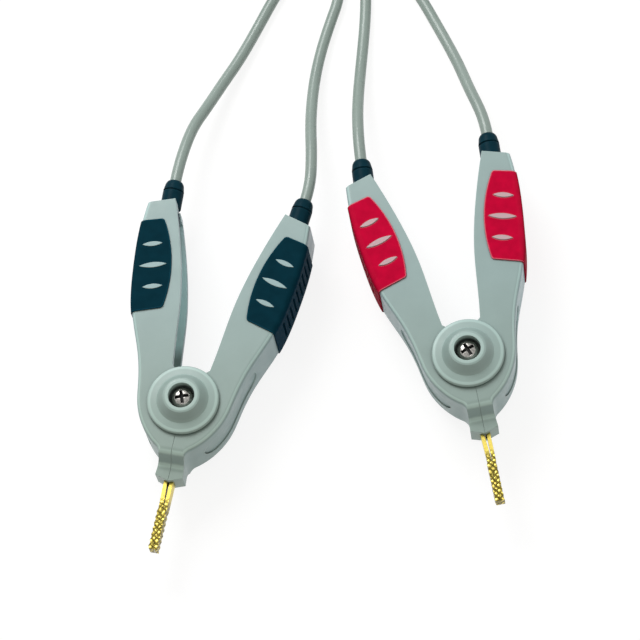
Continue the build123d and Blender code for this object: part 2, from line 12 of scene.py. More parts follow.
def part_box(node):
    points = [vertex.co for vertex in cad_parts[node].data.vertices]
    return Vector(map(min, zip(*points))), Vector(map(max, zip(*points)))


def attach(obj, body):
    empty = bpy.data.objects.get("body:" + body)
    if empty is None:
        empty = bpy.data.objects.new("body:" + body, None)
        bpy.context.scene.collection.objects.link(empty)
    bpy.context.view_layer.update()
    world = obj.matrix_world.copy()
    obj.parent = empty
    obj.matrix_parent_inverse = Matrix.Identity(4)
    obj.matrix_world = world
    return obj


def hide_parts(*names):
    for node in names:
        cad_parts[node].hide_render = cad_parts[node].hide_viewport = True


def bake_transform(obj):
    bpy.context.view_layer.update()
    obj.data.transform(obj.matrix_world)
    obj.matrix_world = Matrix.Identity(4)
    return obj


bl_info = {
    "name": "Kelvin clip pair",
    "version": (1, 0, 0),
    "blender": (4, 5, 0),
    "location": "3D View > Sidebar > Kelvin clips",
    "description": "Finishes, cords and studio of a pair of Kelvin clips",
    "category": "Object",
}

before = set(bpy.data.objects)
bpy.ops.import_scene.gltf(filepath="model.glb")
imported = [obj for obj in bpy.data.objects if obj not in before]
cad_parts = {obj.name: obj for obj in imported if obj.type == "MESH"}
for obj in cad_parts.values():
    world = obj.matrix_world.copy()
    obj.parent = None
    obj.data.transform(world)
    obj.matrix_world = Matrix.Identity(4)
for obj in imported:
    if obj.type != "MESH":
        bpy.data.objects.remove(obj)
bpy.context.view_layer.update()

MM = 0.001
LEVERS = ("black_left", "black_right", "red_left", "red_right")
CLIPS = ("black", "red")
MOVING = {"black_left": "black_lever", "red_right": "red_lever"}
PIVOTS = {"black": (Vector((0.0, 0.0, 10.4)) * MM, radians(-13.2)),
          "red": (Vector((70.85, 7.9, 10.4)) * MM, radians(8.9))}

# Rings of a pivot cap, painted light: a painted highlight round the mouth, painted shade on the cone
# and a painted highlight on the flange's rim; from and to what distance, how soft, how much lighter or
# darker
CAP_RINGS = (
    (0.0034, 0.0040, 0.0002, 1.28),
    (0.0050, 0.0058, 0.0007, 0.84),
    (0.0082, 0.0086, 0.0003, 1.32),
)
# Where a finish changes, as the two ends of the change, in metres
RIB_HEIGHTS = (0.00665, 0.0068)  # from a lever's middle plane, past the grip's face
INNER_HEIGHTS = (0.0050, 0.0052)  # from a lever's middle plane, to the inner faces of its plates
HANDLE_START = (0.016, 0.020)  # along Y, from the pivot to the open handle
NOSE_SHADE_REACH = (-0.026, 0.030)  # along Y, from the noses, where the painted shade is full, to where it ends
TEETH_START = (0.0238, 0.0256)  # from the pivot to a blade's teeth
RECESS_RADII = (0.0018, 0.0019)  # from the screw's axis
RECESS_DEPTHS = (0.0005, 0.00035)  # below the screw's top
PIN_WHITE = (0.0040, 0.00405)  # along Y, from a plug pin's end to the end of its dielectric

# Lamps: name of their power setting, size, place; all face the same spot
LAMPS = (("key", 0.34, (-0.16, 0.42, 0.48)), ("fill", 0.5, (0.55, -0.35, 0.4)))
LIT_SPOT = (0.035, 0.03, 0.0)
FLOOR_PLACE = (0.04, 0.1, 0.0)
FLOOR_REACH = 2.0
# What a ray from the camera sees of the floor: its own glow, and how much light and shadow it takes
FLOOR_GLOW = 0.85
FLOOR_SEEN = 0.21

# Coils
TURN_STEPS = 16
LEAST_CLIMB = 0.3
TIE_ANGLES = (0.9, 0.9 + pi)
TIE_STEPS = 48
TIE_OVERLAP = 4

# Cord routes in millimetres, from the strain relief to the coil
LEADS = {
    "black_left": [(-2.6, 63.46, 10.4), (-1.71, 68.38, 10.4), (1.4, 80.0, 8.0), (5.1, 87.1, 5.6),
                   (9.2, 95.0, 3.6), (13.7, 102.7, 2.3), (18.2, 111.4, 1.7), (22.9, 120.7, 1.5),
                   (27.4, 127.9, 1.5), (31.9, 135.5, 1.5)],
    "black_right": [(30.81, 55.6, 10.4), (32.37, 60.35, 10.4), (32.7, 70.2, 8.9), (32.4, 79.3, 6.4),
                    (32.7, 87.5, 4.2), (33.6, 95.6, 2.7), (35.3, 103.8, 1.8), (37.7, 111.6, 1.5),
                    (40.5, 119.4, 1.5), (41.2, 128.2, 1.5), (40.2, 137.0, 1.5), (39.4, 146.4, 1.5),
                    (39.5, 158.0, 1.5), (39.9, 169.6, 1.5), (40.1, 181.0, 1.5), (40.05, 191.5, 1.5)],
    "red_left": [(45.54, 65.86, 10.4), (45.11, 70.84, 10.4), (44.8, 79.8, 8.1), (45.0, 87.7, 5.4),
                 (45.6, 95.6, 3.3), (46.4, 103.5, 2.1), (47.2, 111.4, 1.6), (47.7, 119.6, 1.5),
                 (47.1, 128.8, 1.5), (46.4, 137.6, 1.5), (46.2, 147.4, 1.5), (45.9, 158.9, 1.5),
                 (45.5, 170.2, 1.5), (45.3, 181.3, 1.5), (45.35, 191.5, 1.5)],
    "red_right": [(78.2, 70.99, 10.4), (77.68, 75.96, 10.4), (74.0, 86.6, 7.6), (71.6, 95.0, 5.0),
                  (68.8, 102.6, 3.2), (65.9, 109.7, 2.0), (62.6, 117.3, 1.5), (57.9, 125.8, 1.5),
                  (54.5, 132.2, 1.5), (51.95, 138.8, 1.5)],
}
# Routes from a left-hand coil to its plug; a right-hand one is mirrored about the lane between them
LANE = 42.7
TAILS = {
    "front": [(13.7, 166.4, 4.6), (7.4, 166.7, 4.6), (1.0, 168.6, 4.1), (-4.0, 173.2, 3.1),
              (-6.9, 180.0, 2.1), (-7.7, 188.2, 1.6), (-7.5, 196.4, 1.9), (-6.2, 203.6, 3.4),
              (-3.6, 210.0, 5.7), (-1.3, 216.4, 7.3), (-1.3, 223.0, 7.3)],
    "rear": [(39.4, 193.0, 4.6), (39.3, 199.0, 4.7), (38.2, 204.8, 5.4), (36.1, 210.3, 6.5),
             (34.5, 216.4, 7.3), (34.5, 223.0, 7.3)],
}
COILS = {"front": (13.7, 146.0), "rear": (19.1, 193.0)}
PLACES = {"black_left": ("left", "front"), "black_right": ("left", "rear"),
          "red_left": ("right", "rear"), "red_right": ("right", "front")}


def colour(label, text, value):
    """A colour setting."""
    return FloatVectorProperty(name=label, description=text, default=value, subtype="COLOR",
                               min=0.0, max=1.0)


class KelvinStage(PropertyGroup):
    """Camera, light and floor."""

    tilt: FloatProperty(name="Tilt", description="How far the camera leans from straight above",
                        default=radians(23.70), subtype="ANGLE")
    turn: FloatProperty(name="Turn", description="Sideways swing of the camera", default=radians(-5.14),
                        subtype="ANGLE")
    roll: FloatProperty(name="Roll", description="Roll of the camera", default=radians(1.54),
                        subtype="ANGLE")
    distance: FloatProperty(name="Distance", description="From the camera to the levers' upper faces",
                            default=0.7474, unit="LENGTH")
    lens: FloatProperty(name="Lens", description="Focal length", default=168.97, unit="CAMERA")
    aim: FloatVectorProperty(name="Aim", description="The point in the middle of the view",
                             default=(0.03444, 0.0195, 0.0169), subtype="TRANSLATION", unit="LENGTH")
    key: FloatProperty(name="Key light", description="Power of the light behind", default=2.6,
                       unit="POWER")
    fill: FloatProperty(name="Fill light", description="Power of the side light", default=0.5,
                        unit="POWER")
    sky: FloatProperty(name="Surround", description="Strength of the surround", default=0.52, min=0.0)
    near: colour("Near side", "Tone of the surround on the viewer's side", (0.60, 0.54, 0.46))
    floor: colour("Floor", "Floor colour", (0.85, 0.85, 0.85))


class KelvinCords(PropertyGroup):
    """The four cords and their coils."""

    diameter: FloatProperty(name="Diameter", description="Cord diameter", default=0.003, unit="LENGTH")
    front_length: FloatProperty(name="Outer cords", description="Length of each outer cord",
                                default=0.80, unit="LENGTH")
    rear_length: FloatProperty(name="Inner cords", description="Length of each inner cord",
                               default=0.81, unit="LENGTH")
    turns: IntProperty(name="Turns", description="Whole turns in a coil's two layers", default=6, min=2)
    pitch: FloatProperty(name="Pitch", description="From one turn to the next", default=0.00302,
                         unit="LENGTH")
    low: FloatProperty(name="Lower layer", description="Height of the lower layer's middle",
                       default=0.0019, unit="LENGTH")
    high: FloatProperty(name="Upper layer", description="Height of the upper layer's middle",
                        default=0.0050, unit="LENGTH")
    tie_width: FloatProperty(name="Tie width", description="Width of a coil's tie", default=0.004,
                             unit="LENGTH")
    tie_thickness: FloatProperty(name="Tie thickness", description="Thickness of a coil's tie",
                                 default=0.00035, unit="LENGTH")


class KelvinFinishes(PropertyGroup):
    """Colours of the pieces."""

    housing: colour("Housing", "Moulded levers and caps", (0.308, 0.424, 0.414))
    # Painted light: a bluer tone for the levers' walls, made paler still for their inner faces
    painted_wall_tone: colour("Housing walls", "Side walls of the moulded levers", (0.310, 0.450, 0.480))
    # Painted shade: multiplies the moulded plastic darker and warmer towards the noses
    nose_shade: colour("Painted nose shade", "Tint of the moulded plastic at the noses", (0.90, 0.84, 0.74))
    # Painted reflected light: the ribs in the housing tone, tinted by light from the grips round them,
    # pink on the red clip
    black_rib_reflection: colour("Dark clip's ribs", "Lens-shaped ribs in the dark grips", (0.300, 0.440, 0.450))
    red_rib_reflection: colour("Red clip's ribs", "Lens-shaped ribs in the red grips", (0.560, 0.380, 0.400))
    black_grip: colour("Dark grips", "Soft grips of the dark clip", (0.0028, 0.030, 0.046))
    # Painted shade on the dark grips' walls
    black_wall_shade: colour("Dark grips' sides", "Side walls of the dark grips", (0.0025, 0.029, 0.053))
    red_grip: colour("Red grips", "Soft grips of the red clip", (0.590, 0.003, 0.040))
    # Painted highlight along the red grips' upper edges
    red_rim_highlight: colour("Red grips' rim", "Paler rim of the red grips", (0.85, 0.27, 0.33))
    relief: colour("Strain reliefs", "Soft strain reliefs", (0.0038, 0.030, 0.045))
    gold: colour("Contacts", "Gold-plated blades and pins", (0.66, 0.53, 0.11))
    nickel: colour("Nickel", "Plated steel", (0.62, 0.60, 0.56))
    brass: colour("Brass", "Threaded inserts", (0.62, 0.42, 0.16))
    cord: colour("Cords", "Cord jackets", (0.262, 0.332, 0.300))
    boot: colour("Boots", "Plug boots", (0.020, 0.021, 0.023))
    core: colour("Cores", "Wires inside the levers", (0.80, 0.79, 0.74))
    tie: colour("Ties", "Coil ties", (0.016, 0.017, 0.018))
    dielectric: colour("Dielectric", "White plastic round the plug pins", (0.86, 0.86, 0.83))
    bump: FloatProperty(name="Grain depth", description="Depth of the moulded grain", default=0.000012,
                        unit="LENGTH")
    edge: FloatProperty(name="Edge radius", description="Radius of the softened edges", default=0.00022,
                        unit="LENGTH")


# Finishes
def node(tree, kind, **inputs):
    """A new shader node with some inputs set; the spaces in their names are written as underscores."""
    made = tree.nodes.new(kind)
    for name, value in inputs.items():
        made.inputs[name.replace("_", " ")].default_value = value
    return made


def plain_finish(name, tone, roughness, metallic=0.0):
    """A material with its shader, before any detail."""
    made = bpy.data.materials.new(name)
    made.use_nodes = True
    made.diffuse_color = (*tone, 1.0)
    shader = made.node_tree.nodes["Principled BSDF"]
    shader.inputs["Base Color"].default_value = (*tone, 1.0)
    shader.inputs["Roughness"].default_value = roughness
    shader.inputs["Metallic"].default_value = metallic
    return made, made.node_tree, shader


def noise(tree, scale, detail=3.0):
    """Noise over the piece's own place, so that it stays put on the surface."""
    place = node(tree, "ShaderNodeTexCoord")
    made = node(tree, "ShaderNodeTexNoise", Scale=scale, Detail=detail)
    tree.links.new(place.outputs["Object"], made.inputs["Vector"])
    return made.outputs["Fac"]


def ranged(tree, value, low, high, to_low=0.0, to_high=1.0):
    """value from low..high to to_low..to_high."""
    made = node(tree, "ShaderNodeMapRange", From_Min=low, From_Max=high, To_Min=to_low, To_Max=to_high)
    tree.links.new(value, made.inputs["Value"])
    return made.outputs["Result"]


def calc(tree, operation, *values):
    """One step of arithmetic on numbers and other nodes' outputs."""
    made = tree.nodes.new("ShaderNodeMath")
    made.operation = operation
    for place, value in zip(made.inputs, values):
        if isinstance(value, bpy.types.NodeSocket):
            tree.links.new(value, place)
        else:
            place.default_value = value
    return made.outputs["Value"]


def mixed(tree, factor, first, second, blend="MIX"):
    """A colour between two, each a colour or another node's output."""
    made = tree.nodes.new("ShaderNodeMix")
    made.data_type = "RGBA"
    made.blend_type = blend
    tree.links.new(factor, made.inputs["Factor"])
    for slot, value in ((6, first), (7, second)):
        if isinstance(value, bpy.types.NodeSocket):
            tree.links.new(value, made.inputs[slot])
        else:
            made.inputs[slot].default_value = (*value, 1.0)
    return made.outputs[2]


def shade(tone, factor):
    """A lighter or darker tone."""
    return tuple(min(1.0, c * factor) for c in tone)


def mottle(tree, shader, tone, amount, scale):
    """Slight clouds of lighter and darker colour."""
    clouds = ranged(tree, noise(tree, scale), 0.3, 0.7)
    out = mixed(tree, clouds, shade(tone, 1 - amount), shade(tone, 1 + amount))
    tree.links.new(out, shader.inputs["Base Color"])
    return out


def soft_edges(tree, radius):
    """The surface's direction with its edges softened."""
    made = node(tree, "ShaderNodeBevel", Radius=radius)
    made.samples = 6
    return made.outputs["Normal"]


def edge_mask(tree, radius, width=0.12):
    """1 on the piece's edges and 0 on its faces."""
    bent = soft_edges(tree, radius)
    flat = node(tree, "ShaderNodeNewGeometry").outputs["Normal"]
    dot = tree.nodes.new("ShaderNodeVectorMath")
    dot.operation = "DOT_PRODUCT"
    tree.links.new(bent, dot.inputs[0])
    tree.links.new(flat, dot.inputs[1])
    return ranged(tree, dot.outputs["Value"], 1.0, 1.0 - width)


def grain(tree, shader, scale, depth, edge, detail=2.0):
    """Fine moulded grain on a surface with softened edges."""
    bump = node(tree, "ShaderNodeBump", Distance=depth, Strength=1.0)
    tree.links.new(noise(tree, scale, detail), bump.inputs["Height"])
    tree.links.new(soft_edges(tree, edge), bump.inputs["Normal"])
    tree.links.new(bump.outputs["Normal"], shader.inputs["Normal"])


def rough_patches(tree, shader, low, high, scale):
    """Roughness that changes a little over the surface."""
    tree.links.new(ranged(tree, noise(tree, scale), 0.3, 0.7, low, high), shader.inputs["Roughness"])


def facing(tree, low, high):
    """0 on walls and 1 on faces that lie flat, by how upright the surface's direction is."""
    split = node(tree, "ShaderNodeSeparateXYZ")
    tree.links.new(node(tree, "ShaderNodeNewGeometry").outputs["Normal"], split.inputs[0])
    return ranged(tree, calc(tree, "ABSOLUTE", split.outputs["Z"]), low, high)


def along(tree, axis, source="Object"):
    """How far along an axis a point of the surface is."""
    split = node(tree, "ShaderNodeSeparateXYZ")
    tree.links.new(node(tree, "ShaderNodeTexCoord").outputs[source], split.inputs[0])
    return split.outputs[axis]


def from_pivot(tree, clip):
    """How far a point of the surface is from a clip's pivot axis."""
    middle = PIVOTS[clip][0]
    flat = node(tree, "ShaderNodeMapping", Scale=(1.0, 1.0, 0.0))
    tree.links.new(node(tree, "ShaderNodeTexCoord").outputs["Object"], flat.inputs["Vector"])
    far = tree.nodes.new("ShaderNodeVectorMath")
    far.operation = "DISTANCE"
    far.inputs[1].default_value = (middle.x, middle.y, 0.0)
    tree.links.new(flat.outputs["Vector"], far.inputs[0])
    return far.outputs["Value"]


def between(tree, value, low, high, soft):
    """1 where a value lies from low to high, falling to 0 over the soft width on both sides."""
    rise = ranged(tree, value, low - soft, low)
    return calc(tree, "MULTIPLY", rise, ranged(tree, value, high, high + soft, 1.0, 0.0))


def crevices(tree, reach):
    """1 in the open and less in crevices up to reach wide."""
    made = node(tree, "ShaderNodeAmbientOcclusion", Distance=reach)
    made.samples = 8
    return made.outputs["AO"]


def moulded_skin(tree, shader, look, colours, rim):
    """Ends a moulded plastic: paler edges as a painted highlight, painted shade in crevices, painted
    shade darker and warmer towards the nose, and a fine grain.
    """
    # Painted highlight: the edges turn paler by the factor rim
    painted_edge_light = mixed(tree, edge_mask(tree, look.edge * 1.5, 0.2), colours, shade(look.housing, rim))
    # Painted shade: crevices up to a millimetre wide turn near black
    hollow = ranged(tree, crevices(tree, 0.0010), 0.2, 0.8, 1.0, 0.0)
    deep = mixed(tree, hollow, painted_edge_light, shade(look.housing, 0.30))
    # Painted shade: darker and warmer towards the noses
    near_nose = ranged(tree, along(tree, "Y"), *NOSE_SHADE_REACH, 1.0, 0.0)
    tree.links.new(mixed(tree, near_nose, deep, look.nose_shade, "MULTIPLY"), shader.inputs["Base Color"])
    rough_patches(tree, shader, 0.30, 0.42, 300.0)
    grain(tree, shader, 5200.0, look.bump, look.edge)
    shader.inputs["Specular IOR Level"].default_value = 0.4


def lever_finish(clip, look, rib_reflection_tone):
    """Moulded lever: a bluer painted light on its walls, a painted highlight along the rounded edges of
    its faces, ribs in a tone of painted reflected light, and inner faces made pale by painted light.
    """
    made, tree, shader = plain_finish(f"{clip}_lever_plastic", look.housing, 0.4)
    faces = mottle(tree, shader, look.housing, 0.03, 160.0)
    # Painted light: the walls take a bluer tone than the faces
    out = mixed(tree, facing(tree, 0.2, 0.9), look.painted_wall_tone, faces)
    # Painted highlight: a pale line where the faces round over into the walls
    sloping = calc(tree, "SUBTRACT", 1.0, facing(tree, 0.93, 0.99))
    rims = calc(tree, "MULTIPLY", facing(tree, 0.60, 0.74), sloping)
    out = mixed(tree, rims, out, shade(look.housing, 1.5))
    from_middle = calc(tree, "ABSOLUTE", calc(tree, "SUBTRACT", along(tree, "Z"), PIVOTS[clip][0].z))
    # Painted reflected light on the ribs
    out = mixed(tree, ranged(tree, from_middle, *RIB_HEIGHTS), out, rib_reflection_tone)
    # Painted light: the inner faces of the plates in the open handle, which lie in shade, turn paler
    handle = ranged(tree, along(tree, "Y"), *HANDLE_START)
    within = calc(tree, "MULTIPLY", handle, ranged(tree, from_middle, *INNER_HEIGHTS, 1.0, 0.0))
    inner_faces = calc(tree, "MULTIPLY", within, facing(tree, 0.6, 0.9))
    out = mixed(tree, inner_faces, out, shade(look.painted_wall_tone, 2.3))
    moulded_skin(tree, shader, look, out, 1.3)
    return made


def cap_finish(clip, look):
    """Moulded pivot cap, with painted highlights round its mouth and its flange and painted shade on
    the cone.
    """
    tone = shade(look.housing, 1.12)
    made, tree, shader = plain_finish(f"{clip}_cap_plastic", tone, 0.4)
    out = mottle(tree, shader, tone, 0.03, 160.0)
    for inner, outer, soft, factor in CAP_RINGS:
        ring = between(tree, from_pivot(tree, clip), inner, outer, soft)
        out = mixed(tree, ring, out, shade(tone, factor))
    moulded_skin(tree, shader, look, out, 1.7)
    return made


def grip_finish(name, tone, wall, rim, look):
    """Soft rubbery grip, matte, with a painted highlight along its upper edges and painted shade on its
    walls.
    """
    made, tree, shader = plain_finish(name, tone, 0.6)
    clouds = mottle(tree, shader, tone, 0.10, 420.0)
    # Painted shade: the walls take the darker wall tone
    faces = mixed(tree, facing(tree, 0.3, 0.8), wall, clouds)
    # Painted highlight: paler upper edges
    edges = edge_mask(tree, look.edge * 2.6, 0.14)
    upper_edges = calc(tree, "MULTIPLY", edges, facing(tree, 0.35, 0.7))
    tree.links.new(mixed(tree, upper_edges, faces, rim), shader.inputs["Base Color"])
    rough_patches(tree, shader, 0.50, 0.64, 700.0)
    grain(tree, shader, 6500.0, look.bump * 1.6, look.edge)
    shader.inputs["Specular IOR Level"].default_value = 0.01
    return made


def rubber_finish(name, tone, look):
    """Smooth dark rubber of reliefs and boots, with a painted highlight on its edges."""
    made, tree, shader = plain_finish(name, tone, 0.5)
    clouds = mottle(tree, shader, tone, 0.12, 500.0)
    # Painted highlight: paler edges
    painted_edge_light = mixed(tree, edge_mask(tree, look.edge, 0.25), clouds, shade(tone, 2.2))
    tree.links.new(painted_edge_light, shader.inputs["Base Color"])
    rough_patches(tree, shader, 0.28, 0.42, 900.0)
    grain(tree, shader, 7000.0, look.bump, look.edge)
    shader.inputs["Specular IOR Level"].default_value = 0.03
    return made


def metal_finish(name, tone, low, high, look, scratch=0.000004):
    """Plated metal with faint marks, and painted shade in its crevices."""
    made, tree, shader = plain_finish(name, tone, high, 1.0)
    clouds = mottle(tree, shader, tone, 0.06, 900.0)
    # Painted shade: crevices turn near black
    hollow = ranged(tree, crevices(tree, 0.0007), 0.30, 0.75, 1.0, 0.0)
    tree.links.new(mixed(tree, hollow, clouds, shade(tone, 0.03)), shader.inputs["Base Color"])
    rough_patches(tree, shader, low, high, 1300.0)
    grain(tree, shader, 3000.0, scratch, look.edge * 0.6, 6.0)
    return made


def screw_finish(clip, look):
    """Plated steel, with painted shade in the cross recess, which turns near black, dull and not
    metallic.
    """
    made, tree, shader = plain_finish(f"{clip}_screw_steel", look.nickel, 0.3, 1.0)
    clouds = mottle(tree, shader, shade(look.nickel, 0.52), 0.45, 1700.0)
    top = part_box(f"{clip}_screw")[1].z
    deep, shallow = (top - depth for depth in RECESS_DEPTHS)
    # Painted shade: inside the cross recess
    inside = calc(tree, "MULTIPLY", ranged(tree, from_pivot(tree, clip), *RECESS_RADII, 1.0, 0.0),
                  ranged(tree, along(tree, "Z"), deep, shallow, 1.0, 0.0))
    tree.links.new(mixed(tree, inside, clouds, shade(look.nickel, 0.03)), shader.inputs["Base Color"])
    tree.links.new(ranged(tree, inside, 0.0, 1.0, 1.0, 0.0), shader.inputs["Metallic"])
    tree.links.new(ranged(tree, inside, 0.0, 1.0, 0.24, 0.7), shader.inputs["Roughness"])
    grain(tree, shader, 2600.0, 0.000008, look.edge * 0.6, 6.0)
    return made


def gold_finish(clip, look):
    """Gold plate, with painted shade in the hollows of its cross-cut knurl between the teeth and in
    crevices, and dark spots over the teeth.
    """
    made, tree, shader = plain_finish(f"{clip}_contact_gold", look.gold, 0.3, 1.0)
    clouds = mottle(tree, shader, look.gold, 0.10, 1600.0)
    place = node(tree, "ShaderNodeTexCoord")
    toothed = ranged(tree, from_pivot(tree, clip), *TEETH_START)
    heights = []
    for slant in (0.62, -0.62):
        turn = node(tree, "ShaderNodeMapping", Rotation=(slant, 0.0, slant))
        tree.links.new(place.outputs["Object"], turn.inputs["Vector"])
        wave = node(tree, "ShaderNodeTexWave", Scale=330.0, Distortion=4.0, Detail=1.0)
        wave.bands_direction = "Y"
        tree.links.new(turn.outputs["Vector"], wave.inputs["Vector"])
        heights.append(wave.outputs["Fac"])
    both = calc(tree, "MULTIPLY", *heights)
    # Dark spots scattered over the teeth
    scattered_spots = ranged(tree, noise(tree, 1500.0, 4.0), 0.53, 0.60)
    # Painted shade in the knurl's hollows
    pits = mixed(tree, ranged(tree, both, 0.05, 0.40), shade(look.gold, 0.20), clouds)
    spots = mixed(tree, toothed, clouds, mixed(tree, scattered_spots, pits, shade(look.gold, 0.16)))
    # Painted shade: crevices turn near black
    hollow = ranged(tree, crevices(tree, 0.0008), 0.4, 0.9, 1.0, 0.0)
    tree.links.new(mixed(tree, hollow, spots, shade(look.gold, 0.06)), shader.inputs["Base Color"])
    rough_patches(tree, shader, 0.26, 0.42, 1500.0)
    bump = node(tree, "ShaderNodeBump", Distance=0.00010, Strength=1.0)
    tree.links.new(calc(tree, "MULTIPLY", both, toothed), bump.inputs["Height"])
    tree.links.new(soft_edges(tree, look.edge * 0.5), bump.inputs["Normal"])
    tree.links.new(bump.outputs["Normal"], shader.inputs["Normal"])
    return made


def cord_finish(look):
    """Satin cord jacket, slightly uneven."""
    made, tree, shader = plain_finish("cord_jacket", look.cord, 0.45)
    mottle(tree, shader, look.cord, 0.05, 90.0)
    rough_patches(tree, shader, 0.22, 0.34, 250.0)
    bump = node(tree, "ShaderNodeBump", Distance=0.00004, Strength=0.6)
    tree.links.new(noise(tree, 600.0, 2.0), bump.inputs["Height"])
    tree.links.new(bump.outputs["Normal"], shader.inputs["Normal"])
    return made


def give(finish, slot, *names):
    """Puts a finish on solid nodes, which stay as they are."""
    for name in names:
        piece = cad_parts[name]
        piece.data.materials.clear()
        piece.data.materials.append(finish)


def settings():
    """The settings of the stage, the cords and the finishes."""
    scene = bpy.context.scene
    return scene.kelvin_stage, scene.kelvin_cords, scene.kelvin_finishes


def link(name, data):
    """A new object of the scene."""
    made = bpy.data.objects.new(name, data)
    bpy.context.scene.collection.objects.link(made)
    return made


# Stage
def lamp(name, power, size, place, target):
    """A large soft light that faces its target."""
    data = bpy.data.lights.new(name, "AREA")
    data.energy = power
    data.shape = "SQUARE"
    data.size = size
    made = link(name, data)
    made.location = place
    made.rotation_euler = (Vector(target) - Vector(place)).to_track_quat("-Z", "Y").to_euler()
    return made


def seen_directly(tree):
    """1 for rays from the camera and for mirrored or refracted ones, else 0."""
    path = node(tree, "ShaderNodeLightPath")
    mirrored, refracted = path.outputs["Is Glossy Ray"], path.outputs["Is Transmission Ray"]
    return calc(tree, "MAXIMUM", path.outputs["Is Camera Ray"],
                calc(tree, "MAXIMUM", mirrored, refracted))


class KELVIN_OT_stage(Operator):
    """Make the camera, the lights and the floor"""

    bl_idname = "kelvin.stage"
    bl_label = "Stage"

    def execute(self, context):
        stage = settings()[0]
        turn = Matrix.Rotation(stage.roll, 3, "Z") @ Matrix.Rotation(-stage.tilt, 3, "X")
        turn = turn @ Matrix.Rotation(stage.turn, 3, "Y")
        back = turn.transposed()
        data = bpy.data.cameras.new("camera")
        data.lens = stage.lens
        data.sensor_width = 36.0
        data.clip_start = 0.01
        camera = link("camera", data)
        place = Vector(stage.aim) + back @ Vector((0, 0, stage.distance))
        camera.matrix_world = Matrix.Translation(place) @ back.to_4x4()
        context.scene.camera = camera
        context.scene.view_settings.view_transform = "Standard"

        for name, size, place in LAMPS:
            lamp(f"{name}_light", getattr(stage, name), size, place, LIT_SPOT)

        world = bpy.data.worlds.new("surround")
        world.use_nodes = True
        context.scene.world = world
        tree = world.node_tree
        even = tree.nodes["Background"]
        even.inputs["Strength"].default_value = stage.sky
        away = ranged(tree, along(tree, "Y", "Generated"), -1.0, 0.5)
        tree.links.new(mixed(tree, away, stage.near, (1.0, 1.0, 1.0)), even.inputs["Color"])
        white = node(tree, "ShaderNodeBackground", Color=(1, 1, 1, 1), Strength=1.0)
        pick = tree.nodes.new("ShaderNodeMixShader")
        tree.links.new(seen_directly(tree), pick.inputs[0])
        tree.links.new(even.outputs[0], pick.inputs[1])
        tree.links.new(white.outputs[0], pick.inputs[2])
        tree.links.new(pick.outputs[0], tree.nodes["World Output"].inputs["Surface"])

        mesh = bpy.data.meshes.new("floor")
        form = bmesh.new()
        bmesh.ops.create_grid(form, x_segments=1, y_segments=1, size=FLOOR_REACH)
        form.to_mesh(mesh)
        form.free()
        floor = link("floor", mesh)
        floor.location = FLOOR_PLACE
        paint = bpy.data.materials.new("floor_white")
        paint.use_nodes = True
        tree = paint.node_tree
        tree.nodes.remove(tree.nodes["Principled BSDF"])
        matte = node(tree, "ShaderNodeBsdfDiffuse", Color=(*stage.floor, 1.0))
        dim = node(tree, "ShaderNodeBsdfDiffuse", Color=(FLOOR_SEEN, FLOOR_SEEN, FLOOR_SEEN, 1.0))
        glow = node(tree, "ShaderNodeEmission", Color=(1, 1, 1, 1), Strength=FLOOR_GLOW)
        both = tree.nodes.new("ShaderNodeAddShader")
        tree.links.new(dim.outputs[0], both.inputs[0])
        tree.links.new(glow.outputs[0], both.inputs[1])
        pick = tree.nodes.new("ShaderNodeMixShader")
        tree.links.new(seen_directly(tree), pick.inputs[0])
        tree.links.new(matte.outputs[0], pick.inputs[1])
        tree.links.new(both.outputs[0], pick.inputs[2])
        tree.links.new(pick.outputs[0], tree.nodes["Material Output"].inputs["Surface"])
        mesh.materials.append(paint)
        return {"FINISHED"}


# Cords
def mirrored(point, side):
    """A left-hand point as it is, or its mirror image for the right-hand side."""
    return point if side == "left" else (2 * LANE - point[0], *point[1:])


def coil_turns(cords, centre, first, last, way):
    """The points of a coil in two layers: inwards below, up, and outwards above."""
    start = atan2(first[1] - centre[1], first[0] - centre[0])
    end = atan2(last[1] - centre[1], last[0] - centre[0])
    extra = ((end - start) * way) % tau / tau
    total = cords.turns + extra
    climb = max(LEAST_CLIMB, extra)
    down = (total - climb) / 2
    radius = Vector((first[0] - centre[0], first[1] - centre[1])).length * MM
    count = round(total * TURN_STEPS)
    points = []
    for i in range(1, count):
        done = total * i / count
        rise = min(max((done - down) / climb, 0.0), 1.0)
        inward = min(done, down) - max(done - down - climb, 0.0)
        r = radius - cords.pitch * inward
        a = start + way * tau * done
        z = cords.low + (cords.high - cords.low) * rise
        points.append(Vector((centre[0] * MM + r * cos(a), centre[1] * MM + r * sin(a), z)))
    return points


def cord_mesh(points, thickness):
    """A smooth tube along a cord's whole route, or its middle line where the thickness is 0."""
    data = bpy.data.curves.new("route", "CURVE")
    data.dimensions = "3D"
    data.bevel_depth = thickness / 2
    data.bevel_resolution = 5
    data.use_fill_caps = True
    spline = data.splines.new("NURBS")
    spline.points.add(len(points) - 1)
    for place, point in zip(spline.points, points):
        place.co = (*point, 1.0)
    spline.order_u = 3
    spline.use_endpoint_u = True
    spline.resolution_u = 5
    line = link("route", data)
    bpy.context.view_layer.update()
    mesh = bpy.data.meshes.new_from_object(line.evaluated_get(bpy.context.evaluated_depsgraph_get()))
    bpy.data.objects.remove(line)
    return mesh


